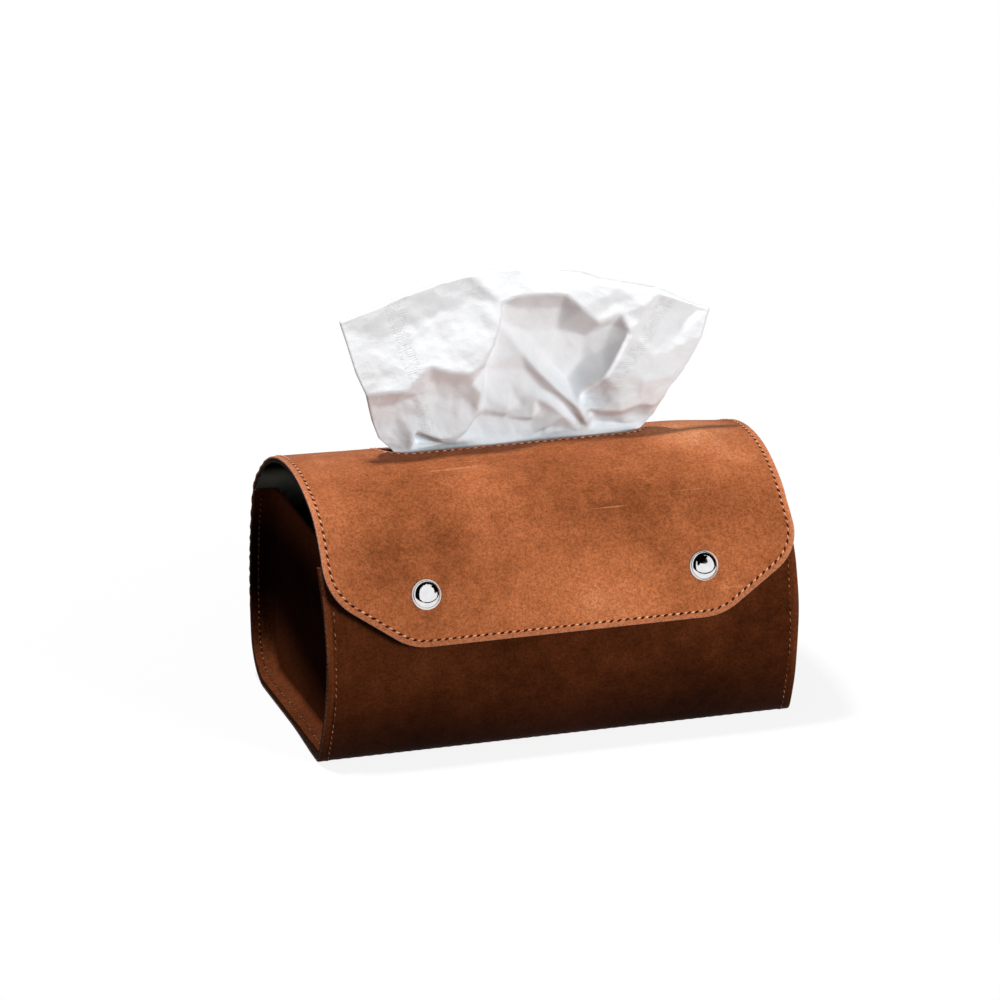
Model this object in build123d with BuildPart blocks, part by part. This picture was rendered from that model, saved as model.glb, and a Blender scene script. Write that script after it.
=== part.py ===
from build123d import *
import os
from math import acos, asin, atan2, cos, degrees, hypot, radians, sin, sqrt

# Leather tissue box cover with an arched lid and a front flap on two press studs.
# Millimetres, +Z up, front towards -Y, origin on the table under the middle.

# Overall size
WIDTH = 220.0  # along X, over the stitched rims
DEPTH = 139.0  # along Y, flap to back
CROWN_Z = 122.5  # top of the arch
CROWN_Y = -1.5
TINY = 1e-6

# Leather and lining
LEATHER_T = 1.1
LINING_T = 1.7  # dark stiffened lining behind the leather
GUSSET_T = 1.4
WALL_T = LEATHER_T + LINING_T
BODY_GAP = 0.3  # between pieces of different bodies

# Radii of the bowed section on the outer face, and how far under the crown they sit
BACK_R = 170.0
BACK_BULGE_DROP = 82.5
FRONT_R = 96.5
FRONT_BULGE_DROP = 76.5
ARCH_SPREAD = 17.0  # the arch's radius is this much over half the depth
BACK_FOOT_R = 22.0
FRONT_FOOT_R = 5.0
BACK_BEND_R = 13.0
FRONT_BEND_R = 36.0

# Front panel, flap and the press studs
PANEL_TOP_DROP = 30.5  # its top edge under the crown
FLAP_EDGE_DROP = 66.9
FLAP_CUT_X = 37.5  # corner cuts of the flap
FLAP_CUT_Z = 25.7
FLAP_CORNER_R = 24.0
SNAP_X = 64.7
SNAP_DROP = 43.6  # under the crown, on the flap's outer face
SNAP_STACK = 3.4  # flap lining to front panel at a closed stud
FLAP_TIGHTER = 25.0  # the flap's radius is this much less than the panel's there
FLAP_BEND_ANGLE = 142.5  # direction of the bend line on the outer face, from +Y

# Slot for the tissue
SLOT_L = 124.0
SLOT_W = 30.0
SLOT_FRONT_Y = 2.0
SLOT_CORNER_R = 13.0
PUNCH_DEPTH = 30.0  # a cut through the arch from over its crown

# Ends
RECESS = 11.0  # end panels behind the rims
GUSSET_BEND_R = 3.0
PAST_TOP = 4.0  # degrees that a cut runs past the tray's top edges

# Tissues
STACK_END = 4.0  # from the end panels
STACK_OVER = 0.9  # wider than the flat of the bottom
STACK_H = 58.0
STACK_EDGE_R = 5.0
TISSUE_T = 1.6
THROAT_RISE = 3.5  # the pulled tissue stands straight up to here, over the crown
THROAT_END = 5.0  # its sides from the slot's ends
THROAT_FRONT = 2.6  # its nearest fold from the slot's front edge
THROAT_BACK = 6.0
FAN_RISE = 85.5  # its folds spread out up to here, over the crown
FAN_BOW = 3.0  # and bulge forwards in between
# Folds from left to right: shares of half the throat's width and of its depth, and then
# where the fold stands at the top of the fan, as x and y behind the slot's front edge
FOLDS = [
    (-1.00, 0.20, -95, 7),
    (-0.80, 0.00, -66, 1),
    (-0.62, 0.35, -45, 6),
    (-0.36, 0.00, -8, 0),  # left edge of the pocket
    (-0.30, 0.78, 2, 11),
    (0.05, 1.00, 22, 14),
    (0.28, 0.30, 38, 9),  # crease in the pocket
    (0.38, 0.72, 48, 12),
    (0.58, 0.00, 72, 2),  # right side of the pocket
    (0.78, 0.35, 91, 8),
    (1.00, 0.20, 115, 5),
]
# Top edge and sides of the tissue, as x and the height over the crown
TOP_LEFT = (-82.5, 63.0)
TOP_MIDDLE = (0.0, 81.5)
TOP_RIGHT = (91.5, 54.0)
LEFT_SIDE = (-71.0, 25.5)
RIGHT_SIDE = (81.0, 21.5)


def across(a, b, ra, rb, side):
    """Point at ra from a and rb from b, to the left (side 1) or right (-1) of a to b."""
    dy, dz = b[0] - a[0], b[1] - a[1]
    d = hypot(dy, dz)
    along = (ra * ra - rb * rb + d * d) / (2 * d)
    off = side * sqrt(ra * ra - along * along)
    return (a[0] + (dy * along - dz * off) / d, a[1] + (dz * along + dy * off) / d)


def heading(a, b):
    """Direction from a to b in degrees from +Y, 0 to 360."""
    return degrees(atan2(b[1] - a[1], b[0] - a[0])) % 360


def on_circle(circle, angle, depth=0.0):
    y, z, r = circle
    return (y + (r - depth) * cos(radians(angle)), z + (r - depth) * sin(radians(angle)))


# Circles of the outer face as (y, z, radius)
back = (DEPTH / 2 - BACK_R, CROWN_Z - BACK_BULGE_DROP, BACK_R)
arch_r = DEPTH / 2 + ARCH_SPREAD
arch = (CROWN_Y, CROWN_Z - arch_r, arch_r)
snap_rise = SNAP_STACK + WALL_T  # panel's outer face to flap's outer face
snap_angle = 180 - degrees(asin((FRONT_BULGE_DROP - SNAP_DROP) / (FRONT_R + snap_rise)))
flap_r = FRONT_R + snap_rise - FLAP_TIGHTER
flap_y = flap_r - DEPTH / 2
front_z = CROWN_Z - FRONT_BULGE_DROP
front = (flap_y - FLAP_TIGHTER * cos(radians(snap_angle)), front_z, FRONT_R)
flap = (flap_y, front_z + FLAP_TIGHTER * sin(radians(snap_angle)), flap_r)

back_foot_y = back[0] + sqrt((BACK_R - BACK_FOOT_R) ** 2 - (back[1] - BACK_FOOT_R) ** 2)
back_foot = (back_foot_y, BACK_FOOT_R, BACK_FOOT_R)
front_foot_y = front[0] - sqrt((FRONT_R - FRONT_FOOT_R) ** 2 - (front[1] - FRONT_FOOT_R) ** 2)
front_foot = (front_foot_y, FRONT_FOOT_R, FRONT_FOOT_R)
back_bend = across(back, arch, BACK_R - BACK_BEND_R, arch_r - BACK_BEND_R, 1) + (BACK_BEND_R,)
front_bend = across(arch, flap, arch_r - FRONT_BEND_R, flap_r - FRONT_BEND_R, -1)
if front_bend[0] > arch[0]:
    front_bend = across(arch, flap, arch_r - FRONT_BEND_R, flap_r - FRONT_BEND_R, 1)
front_bend = front_bend + (FRONT_BEND_R,)

# Directions where one circle runs into the next
hinge_angle = heading(back, back_bend)
arch_start = heading(arch, back_bend)
arch_end = heading(arch, front_bend)
flap_start = heading(flap, front_bend)
front_foot_angle = heading(front, front_foot)
back_foot_angle = heading(back, back_foot)
panel_top = 180 - degrees(asin((FRONT_BULGE_DROP - PANEL_TOP_DROP) / FRONT_R))
flap_edge_z = CROWN_Z - FLAP_EDGE_DROP
flap_end = 180 - degrees(asin((flap_edge_z - flap[1]) / flap_r))

# The outer face in order, front panel down, under and up the back, then the lid and flap
tray_face = [
    (front, panel_top - PAST_TOP, front_foot_angle),
    (front_foot, front_foot_angle, 270),
    (back_foot, 270, back_foot_angle),
    (back, back_foot_angle, 360 + hinge_angle + PAST_TOP),
]
lid_face = [
    (back_bend, hinge_angle, arch_start),
    (arch, arch_start, arch_end),
    (front_bend, arch_end, flap_start),
    (flap, flap_start, flap_end),
]


def skin(face, depth, start, stop):
    """Draws a face's arcs at a depth, and the flats between them; gives the end points."""
    first = last = None
    for circle, a, b in face:
        a, b = max(a, start), min(b, stop)
        if b - a < TINY:
            continue
        here = on_circle(circle, a, depth)
        if last and hypot(here[0] - last[0], here[1] - last[1]) > TINY:
            Line(last, here)
        CenterArc(circle[:2], circle[2] - depth, a, b - a)
        first, last = first or here, on_circle(circle, b, depth)
    return first, last


def wall(face, outer, inner, start, stop):
    """The closed section of a layer between two depths."""
    with BuildLine() as section:
        a, b = skin(face, outer, start, stop)
        c, d = skin(face, inner, start, stop)
        Line(a, c)
        Line(b, d)
    return section.edges()


def gap_angle(radius):
    """Half a body gap as an angle."""
    return degrees(BODY_GAP / 2 / radius)


tray_stop = 360 + hinge_angle - gap_angle(BACK_R)
lid_start = hinge_angle + gap_angle(BACK_BEND_R)
bend_r = flap_r if FLAP_BEND_ANGLE > flap_start else FRONT_BEND_R
lid_stop = FLAP_BEND_ANGLE - gap_angle(bend_r)
flap_begin = FLAP_BEND_ANGLE + gap_angle(bend_r)

# Press studs: a line out of the front panel, square to both skins
snap_foot = on_circle(front, snap_angle)
snap_out = Vector(0, cos(radians(snap_angle)), sin(radians(snap_angle)))
sides = {"left": -1, "right": 1}


def snap_point(side, rise):
    """On the stud's line, a rise above the front panel's outer face."""
    return Vector(side * SNAP_X, snap_foot[0], snap_foot[1]) + snap_out * rise


def across_snap(side, rise):
    """Plane square to the stud's line."""
    return Plane(snap_point(side, rise), x_dir=(1, 0, 0), z_dir=snap_out)


def along_snap(side):
    """Plane through the stud's line: x is the radius and y the rise."""
    return Plane(
        snap_point(side, 0), x_dir=(1, 0, 0), z_dir=Vector(1, 0, 0).cross(snap_out)
    )


def snap_axis(side):
    return Axis(snap_point(side, 0), snap_out)


# Press stud sizes
POST_R = 1.4
POST_HOLE_R = 1.5
POST_BORE_R = 0.9
POST_FLANGE_R = 3.6
POST_FLANGE_T = 0.4
STUD_FLANGE_R = 4.6
STUD_FLANGE_T = 0.5
STUD_NECK_R = 1.2
STUD_HEAD_R = 1.5
STUD_CROWN = 0.5  # height of its domed end
STUD_COVE = 0.7  # the neck's foot spreads this far
STUD_COVE_T = 0.1
STUD_COVE_H = 0.5
STUD_ROOM = 0.47  # stud's top to the cap's rolled end
POST_END = 0.25  # the post's rolled end, over the front panel
SOCKET_R = 5.9
SOCKET_FOOT = 0.9  # its mouth above the front panel
SOCKET_MOUTH_R = 3.4
SOCKET_GROOVE_R = 5.1
SOCKET_WALL = 0.4
SOCKET_FOOT_BEVEL = 0.5
SOCKET_BACK_BEVEL = 0.3
SPRING_R = 0.22
SPRING_HALF = 2.15  # spring legs from the middle
SPRING_REACH = 4.0
SPRING_CORNER_R = 1.9
CAP_R = 6.75
CAP_RISE = 2.7
CAP_SKIN = 0.45
CAP_LIP = 0.25  # radius of its rolled edge
CAP_SHANK_R = 1.5
CAP_HOLE_R = 1.6
CAP_PEEN_R = 2.3
CAP_PEEN_T = 0.25
SEAT_GAP = 0.05


def bow(radius, across_r):
    """How far a bowed skin falls away across a round seat."""
    return radius - sqrt(radius * radius - across_r * across_r) + SEAT_GAP


# Rises above the front panel where the metal seats on the bowed skins
flap_in = SNAP_STACK - bow(flap_r - WALL_T, SOCKET_R)
flap_out = SNAP_STACK + WALL_T + SEAT_GAP
panel_in = -WALL_T - bow(FRONT_R - WALL_T, POST_FLANGE_R)
socket_seat = flap_in - SOCKET_WALL
peen = socket_seat - CAP_PEEN_T
stud_top = peen - STUD_ROOM
groove_foot = SOCKET_FOOT + SOCKET_WALL
groove_top = socket_seat - SOCKET_WALL

# Tray: front panel, bottom and back in one wrap
with BuildPart() as tray_outer:
    with BuildSketch(Plane.YZ):
        make_face(wall(tray_face, 0, LEATHER_T, panel_top, tray_stop))
    extrude(amount=WIDTH / 2, both=True)
    for side in sides.values():
        with BuildSketch(across_snap(side, 0)):
            Circle(POST_HOLE_R)
        extrude(amount=2 * WALL_T, both=True, mode=Mode.SUBTRACT)

with BuildPart() as tray_lining:
    with BuildSketch(Plane.YZ):
        make_face(wall(tray_face, LEATHER_T, WALL_T, panel_top, tray_stop))
    extrude(amount=WIDTH / 2, both=True)
    for side in sides.values():
        with BuildSketch(across_snap(side, 0)):
            Circle(POST_HOLE_R)
        extrude(amount=2 * WALL_T, both=True, mode=Mode.SUBTRACT)


def end_block(side, depth, x, past, fold):
    """Block inside the wrap at one end, from x outwards, with its inner edge folded round."""
    with BuildPart() as block:
        with BuildSketch(Plane.YZ.offset(side * x)):
            with BuildLine():
                a, b = skin(tray_face, depth, panel_top - past, tray_stop + past)
                Line(a, b)
            make_face()
        extrude(amount=side * RECESS)
        rim = block.faces().sort_by(Axis.X)[0 if side > 0 else -1].edges()
        fillet(rim.sort_by(lambda e: e.center().Z)[:-1], fold)
    return block.part


# End panels: a flange sewn inside the wrap's rim and a panel set back from it
gussets = {}
for name, side in sides.items():
    inner_x = WIDTH / 2 - RECESS
    solid = end_block(side, WALL_T, inner_x, 0, GUSSET_BEND_R + GUSSET_T)
    hollow = end_block(side, WALL_T + GUSSET_T, inner_x + GUSSET_T, PAST_TOP, GUSSET_BEND_R)
    with BuildPart() as gusset:
        add(solid)
        add(hollow, mode=Mode.SUBTRACT)
    gusset.part.label = name + "_gusset"
    gussets[name] = gusset

# Lid: the arch with the tissue slot, down to the bend above the flap
with BuildPart() as lid_outer:
    with BuildSketch(Plane.YZ):
        make_face(wall(lid_face, 0, LEATHER_T, lid_start, lid_stop))
    extrude(amount=WIDTH / 2, both=True)
    with BuildSketch(Plane.XY.offset(CROWN_Z + WALL_T)):
        with Locations((0, SLOT_FRONT_Y + SLOT_W / 2)):
            RectangleRounded(SLOT_L, SLOT_W, SLOT_CORNER_R)
    extrude(amount=-PUNCH_DEPTH, mode=Mode.SUBTRACT)

with BuildPart() as lid_lining:
    with BuildSketch(Plane.YZ):
        make_face(wall(lid_face, LEATHER_T, WALL_T, lid_start, lid_stop))
    extrude(amount=WIDTH / 2, both=True)
    with BuildSketch(Plane.XY.offset(CROWN_Z + WALL_T)):
        with Locations((0, SLOT_FRONT_Y + SLOT_W / 2)):
            RectangleRounded(SLOT_L, SLOT_W, SLOT_CORNER_R)
    extrude(amount=-PUNCH_DEPTH, mode=Mode.SUBTRACT)


def flap_outline():
    """The flap seen from the front, with its two corner cuts."""
    half, top, shoulder = WIDTH / 2, CROWN_Z, flap_edge_z + FLAP_CUT_Z
    with BuildLine() as outline:
        Polyline(
            (half, top),
            (-half, top),
            (-half, shoulder),
            (FLAP_CUT_X - half, flap_edge_z),
            (half - FLAP_CUT_X, flap_edge_z),
            (half, shoulder),
            (half, top),
        )
    return outline.edges()


# Flap: two layers with the same cut outline
flap_layers = {}
for name, outer, inner in (("flap_outer", 0, LEATHER_T), ("flap_lining", LEATHER_T, WALL_T)):
    with BuildPart() as layer:
        with BuildSketch(Plane.YZ):
            make_face(wall(lid_face, outer, inner, flap_begin, flap_end))
        extrude(amount=WIDTH / 2, both=True)
        with BuildSketch(Plane.XZ) as outline:
            make_face(flap_outline())
            low = outline.vertices().filter_by(lambda v: v.Y < CROWN_Z - TINY)
            fillet(low, FLAP_CORNER_R)
        extrude(amount=DEPTH, mode=Mode.INTERSECT)
        for side in sides.values():
            with BuildSketch(across_snap(side, flap_out)):
                Circle(CAP_HOLE_R)
            extrude(amount=2 * WALL_T, both=True, mode=Mode.SUBTRACT)
    layer.part.label = name
    flap_layers[name] = layer

# Domes as circles centred on the stud's line
head_r = (STUD_HEAD_R**2 + STUD_CROWN**2) / (2 * STUD_CROWN)
head_from = 90 - degrees(asin(STUD_HEAD_R / head_r))
cap_edge = CAP_R - CAP_LIP
dome_h = CAP_RISE - 2 * CAP_LIP
dome_r = (cap_edge**2 + dome_h**2) / (2 * dome_h)
dome_z = flap_out + CAP_RISE - dome_r
dome_in = dome_r - CAP_SKIN
dome_from = 90 - degrees(asin(cap_edge / dome_r))
shank_top = dome_z + sqrt(dome_in**2 - CAP_SHANK_R**2)
shank_angle = degrees(acos(CAP_SHANK_R / dome_in))
hollow_from = degrees(asin((flap_out - dome_z) / dome_in))
hollow_edge = sqrt(dome_in**2 - (flap_out - dome_z) ** 2)

# Press studs
snaps = []
for name, side in sides.items():
    # Post from inside the front panel, with its end rolled over in the stud
    with BuildPart() as post:
        with BuildSketch(along_snap(side)):
            with BuildLine():
                Polyline(
                    (0, panel_in - POST_FLANGE_T),
                    (POST_FLANGE_R, panel_in - POST_FLANGE_T),
                    (POST_FLANGE_R, panel_in),
                    (POST_R, panel_in),
                    (POST_R, POST_END),
                    (POST_BORE_R, POST_END),
                    (POST_BORE_R, panel_in + POST_FLANGE_T),
                    (0, panel_in + POST_FLANGE_T),
                    (0, panel_in - POST_FLANGE_T),
                )
            make_face()
        revolve(axis=snap_axis(side))
    post.part.label = "snap_post_" + name

    # Stud on the outer face: flange, neck and domed head, hollow underneath
    with BuildPart() as stud:
        with BuildSketch(along_snap(side)):
            with BuildLine():
                Polyline(
                    (POST_R, POST_END),
                    (POST_R, 0),
                    (STUD_FLANGE_R, 0),
                    (STUD_FLANGE_R, STUD_FLANGE_T),
                    (STUD_NECK_R + STUD_COVE, STUD_FLANGE_T + STUD_COVE_T),
                    (STUD_NECK_R, STUD_FLANGE_T + STUD_COVE_H),
                    (STUD_HEAD_R, stud_top - STUD_CROWN),
                )
                CenterArc((0, stud_top - head_r), head_r, head_from, 90 - head_from)
                Polyline((0, stud_top), (0, POST_END), (POST_R, POST_END))
            make_face()
        revolve(axis=snap_axis(side))
    stud.part.label = "snap_stud_" + name

    # Socket under the flap: a ring with a groove for its spring and a seat for the cap
    with BuildPart() as socket:
        with BuildSketch(along_snap(side)):
            with BuildLine():
                Polyline(
                    (SOCKET_MOUTH_R, SOCKET_FOOT),
                    (SOCKET_R - SOCKET_FOOT_BEVEL, SOCKET_FOOT),
                    (SOCKET_R, SOCKET_FOOT + SOCKET_FOOT_BEVEL),
                    (SOCKET_R, flap_in - SOCKET_BACK_BEVEL),
                    (SOCKET_R - SOCKET_BACK_BEVEL, flap_in),
                    (CAP_HOLE_R, flap_in),
                    (CAP_HOLE_R, socket_seat),
                    (SOCKET_MOUTH_R, socket_seat),
                    (SOCKET_GROOVE_R, groove_top),
                    (SOCKET_GROOVE_R, groove_foot),
                    (SOCKET_MOUTH_R, groove_foot),
                    (SOCKET_MOUTH_R, SOCKET_FOOT),
                )
            make_face()
        revolve(axis=snap_axis(side))
    socket.part.label = "snap_socket_" + name

    # Spring: a wire in the socket's groove, open below, with a leg on each side of the stud
    with BuildPart() as spring:
        with BuildLine(across_snap(side, (groove_foot + groove_top) / 2)) as wire:
            FilletPolyline(
                (SPRING_HALF, -SPRING_REACH),
                (SPRING_HALF, SPRING_REACH),
                (-SPRING_HALF, SPRING_REACH),
                (-SPRING_HALF, -SPRING_REACH),
                radius=SPRING_CORNER_R,
            )
        with BuildSketch(Plane(wire.line @ 0, z_dir=wire.line % 0)):
            Circle(SPRING_R)
        sweep()
    spring.part.label = "socket_spring_" + name

    # Cap: domed shell with a shank through the flap, rolled over inside the socket
    with BuildPart() as cap:
        with BuildSketch(along_snap(side)):
            with BuildLine():
                CenterArc((0, dome_z), dome_r, dome_from, 90 - dome_from)
                Polyline(
                    (0, flap_out + CAP_RISE),
                    (0, peen),
                    (CAP_PEEN_R, peen),
                    (CAP_PEEN_R, socket_seat),
                    (CAP_SHANK_R, socket_seat),
                    (CAP_SHANK_R, shank_top),
                )
                CenterArc((0, dome_z), dome_in, hollow_from, shank_angle - hollow_from)
                Line((hollow_edge, flap_out), (cap_edge, flap_out))
                CenterArc((cap_edge, flap_out + CAP_LIP), CAP_LIP, -90, 180)
            make_face()
        revolve(axis=snap_axis(side))
    cap.part.label = "snap_cap_" + name
    snaps += [post, stud, socket, spring, cap]

# Stack of folded tissues on the bottom lining
stack_foot = WALL_T + BODY_GAP / 2
stack_l = WIDTH - 2 * (RECESS + STACK_END)
stack_w = back_foot_y - front_foot_y + STACK_OVER
with BuildPart() as tissue_stack:
    with BuildSketch(Plane.XY.offset(stack_foot)):
        with Locations((0, (back_foot_y + front_foot_y) / 2)):
            RectangleRounded(stack_l, stack_w, STACK_EDGE_R)
    extrude(amount=STACK_H)


# Pulled tissue: folds that stand straight in the slot and fan out above it
throat_half = SLOT_L / 2 - THROAT_END
throat_depth = SLOT_W - THROAT_FRONT - THROAT_BACK
throat_top = CROWN_Z + THROAT_RISE


def folded(spread):
    """Section of the pulled tissue, from its folds in the slot (0) to the top of the fan (1)."""
    line = []
    for x_share, y_share, fan_x, fan_y in FOLDS:
        slot_x = x_share * throat_half
        slot_y = THROAT_FRONT + y_share * throat_depth
        bulge = 4 * FAN_BOW * spread * (1 - spread)
        x = slot_x + (fan_x - slot_x) * spread
        line.append((x, SLOT_FRONT_Y + slot_y + (fan_y - slot_y) * spread - bulge))
    near = [(x, y - TISSUE_T / 2) for x, y in line]
    far = [(x, y + TISSUE_T / 2) for x, y in line]
    with BuildLine() as strip:
        Polyline(*near, *reversed(far), near[0])
    return strip.edges()


def from_crown(point):
    return (point[0], CROWN_Z + point[1])


with BuildPart() as pulled_tissue:
    for height in (stack_foot + STACK_H + BODY_GAP, throat_top):
        with BuildSketch(Plane.XY.offset(height)):
            make_face(folded(0))
    loft(ruled=True)
    for spread in (0, 0.5, 1):
        rise = THROAT_RISE + (FAN_RISE - THROAT_RISE) * spread
        with BuildSketch(Plane.XY.offset(CROWN_Z + rise)):
            make_face(folded(spread))
    loft(ruled=True)
    with BuildSketch(Plane.XZ.offset(-DEPTH)):
        with BuildLine():
            reach = throat_half + THROAT_END / 2
            right, left = (reach, CROWN_Z), (-reach, CROWN_Z)
            ThreePointArc(*map(from_crown, (TOP_LEFT, TOP_MIDDLE, TOP_RIGHT)))
            ThreePointArc(from_crown(TOP_RIGHT), from_crown(RIGHT_SIDE), right)
            Polyline(right, (reach, 0), (-reach, 0), left)
            ThreePointArc(left, from_crown(LEFT_SIDE), from_crown(TOP_LEFT))
        make_face()
    extrude(amount=2 * DEPTH, mode=Mode.INTERSECT)

tray_outer.part.label = "tray_outer"
tray_lining.part.label = "tray_lining"
lid_outer.part.label = "lid_outer"
lid_lining.part.label = "lid_lining"
tissue_stack.part.label = "tissue_stack"
pulled_tissue.part.label = "pulled_tissue"

os.makedirs("parts", exist_ok=True)
pieces = [tray_outer, tray_lining, *gussets.values(), lid_outer, lid_lining]
pieces += [*flap_layers.values(), *snaps, tissue_stack, pulled_tissue]
for piece in pieces:
    export_step(piece.part, "parts/" + piece.part.label + ".step")
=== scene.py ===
import math
import random

import bmesh
import bpy
import numpy as np
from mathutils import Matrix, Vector, noise
from mathutils.geometry import delaunay_2d_cdt


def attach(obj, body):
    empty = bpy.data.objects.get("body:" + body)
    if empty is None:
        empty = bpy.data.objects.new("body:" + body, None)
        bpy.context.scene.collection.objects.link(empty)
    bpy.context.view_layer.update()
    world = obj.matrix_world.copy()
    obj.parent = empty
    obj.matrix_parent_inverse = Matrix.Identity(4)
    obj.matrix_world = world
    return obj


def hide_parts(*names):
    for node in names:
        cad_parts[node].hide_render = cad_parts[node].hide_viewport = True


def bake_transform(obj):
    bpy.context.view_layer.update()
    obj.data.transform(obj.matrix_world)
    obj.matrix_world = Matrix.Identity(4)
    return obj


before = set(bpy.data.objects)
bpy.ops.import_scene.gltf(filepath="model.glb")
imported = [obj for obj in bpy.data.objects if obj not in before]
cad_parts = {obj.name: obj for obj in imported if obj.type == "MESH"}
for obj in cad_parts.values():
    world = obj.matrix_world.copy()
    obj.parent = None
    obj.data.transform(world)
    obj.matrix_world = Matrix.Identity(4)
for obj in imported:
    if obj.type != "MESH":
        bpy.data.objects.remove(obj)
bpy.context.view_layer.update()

# Leather tissue box cover. Lengths are in millimetres until a mesh is made.
MM = 0.001

# Section of the wrap: y to the back, z up
WIDTH = 220.0
DEPTH = 139.0
CROWN_Y = -1.5
CROWN_Z = 122.5
ARCH_R = 86.5
BACK_R = 170.0
BACK_BULGE_Z = 40.0
BACK_BEND_R = 13.0
BACK_FOOT_R = 22.0
FRONT_R = 96.5
FRONT_BULGE_Z = 46.0
FRONT_BEND_R = 36.0
FRONT_FOOT_R = 5.0
FLAP_TIGHTER = 25.0
SNAP_X = 64.7
SNAP_Z = 78.9
SNAP_RISE = 6.2  # front panel's outer face to the flap's
SNAP_TURN = math.pi - math.asin((SNAP_Z - FRONT_BULGE_Z) / (FRONT_R + SNAP_RISE))
PANEL_TOP_Z = 92.0
FLAP_EDGE_Z = 55.6
FLAP_BEND_ANGLE = 142.5
LEATHER_T = 1.1
WALL_T = 2.8  # leather and lining
GUSSET_T = 1.4
SLOT_L = 124.0
SLOT_W = 30.0
SLOT_FRONT_Y = 2.0
SLOT_CORNER_R = 13.0
FLAP_CUT_X = 37.5
FLAP_CUT_Z = 25.7
FLAP_CORNER_R = 26
PANEL_CORNER_R = 2.5
MEET_Y = 40.0  # the two skins meet here on the lid, behind the slot


def across(a, b, ra, rb, side):
    """Point at ra from a and rb from b, to the left (side 1) or right (-1) of a to b."""
    dy, dz = b[0] - a[0], b[1] - a[1]
    d = math.hypot(dy, dz)
    along = (ra * ra - rb * rb + d * d) / (2 * d)
    off = side * math.sqrt(ra * ra - along * along)
    return (a[0] + (dy * along - dz * off) / d, a[1] + (dz * along + dy * off) / d)


def heading(a, b):
    """Direction from a to b in degrees from +Y, 0 to 360."""
    return math.degrees(math.atan2(b[1] - a[1], b[0] - a[0])) % 360


def wrap_arcs():
    """Circles (y, z, radius) of the outer face with their start and stop directions, from the
    top of the front panel down, under, up the back and over to the flap's edge."""
    back = (DEPTH / 2 - BACK_R, BACK_BULGE_Z, BACK_R)
    arch = (CROWN_Y, CROWN_Z - ARCH_R, ARCH_R)
    flap_r = FRONT_R + SNAP_RISE - FLAP_TIGHTER
    flap_y = flap_r - DEPTH / 2
    front = (flap_y - FLAP_TIGHTER * math.cos(SNAP_TURN), FRONT_BULGE_Z, FRONT_R)
    flap = (flap_y, FRONT_BULGE_Z + FLAP_TIGHTER * math.sin(SNAP_TURN), flap_r)
    reach = math.sqrt((BACK_R - BACK_FOOT_R) ** 2 - (back[1] - BACK_FOOT_R) ** 2)
    back_foot = (back[0] + reach, BACK_FOOT_R, BACK_FOOT_R)
    reach = math.sqrt((FRONT_R - FRONT_FOOT_R) ** 2 - (front[1] - FRONT_FOOT_R) ** 2)
    front_foot = (front[0] - reach, FRONT_FOOT_R, FRONT_FOOT_R)
    back_bend = across(back, arch, BACK_R - BACK_BEND_R, ARCH_R - BACK_BEND_R, 1)
    front_bend = across(arch, flap, ARCH_R - FRONT_BEND_R, flap_r - FRONT_BEND_R, 1)
    hinge = 360 + heading(back, back_bend)
    arch_start, arch_end = 360 + heading(arch, back_bend), 360 + heading(arch, front_bend)
    flap_start = 360 + heading(flap, front_bend)
    foot_start, foot_end = heading(front, front_foot), heading(back, back_foot)
    panel_top = 180 - math.degrees(math.asin((PANEL_TOP_Z - front[1]) / FRONT_R))
    flap_end = 540 - math.degrees(math.asin((FLAP_EDGE_Z - flap[1]) / flap_r))
    return [
        (front, panel_top, foot_start),
        (front_foot, foot_start, 270),
        (back_foot, 270, foot_end),
        (back, foot_end, hinge),
        ((*back_bend, BACK_BEND_R), hinge, arch_start),
        (arch, arch_start, arch_end),
        ((*front_bend, FRONT_BEND_R), arch_end, flap_start),
        (flap, flap_start, flap_end),
    ]


def lengths(path):
    """Length along a path at each of its points."""
    return np.concatenate([[0], np.cumsum(np.linalg.norm(np.diff(path, axis=0), axis=1))])


def wrap_table(step=0.25):
    """Directions, points and arc lengths along the whole wrap."""
    rows = []
    for (y, z, r), start, stop in wrap_arcs():
        for angle in np.linspace(start, stop, 2 + round((stop - start) / step)):
            turn = math.radians(angle)
            rows.append((angle, y + r * math.cos(turn), z + r * math.sin(turn)))
    angles, ys, zs = np.array(rows).T
    return angles, ys, zs, lengths(np.stack([ys, zs], 1))


ANGLES, YS, ZS, RUN = wrap_table()


def run_at(angle):
    """Arc length along the wrap at a direction."""
    return float(np.interp(angle, ANGLES, RUN))


def run_at_lid_y(y):
    """Arc length along the wrap where the arch stands at y."""
    return run_at(360 + math.degrees(math.acos((y - CROWN_Y) / ARCH_R)))


def run_at_flap_z(z):
    """Arc length along the wrap where the flap stands at z."""
    (_, cz, r), _, _ = wrap_arcs()[7]
    return run_at(540 - math.degrees(math.asin((z - cz) / r)))


RUN_HINGE = run_at(wrap_arcs()[4][1])
RUN_BEND = run_at(360 + FLAP_BEND_ANGLE)
RUN_FOOT = run_at(250)
RUN_END = float(RUN[-1])
RUN_MEET = run_at_lid_y(MEET_Y)


def ease(value, low, high):
    """0 below low, 1 above high, smooth between."""
    t = np.clip((value - low) / (high - low), 0, 1)
    return t * t * (3 - 2 * t)


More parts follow.
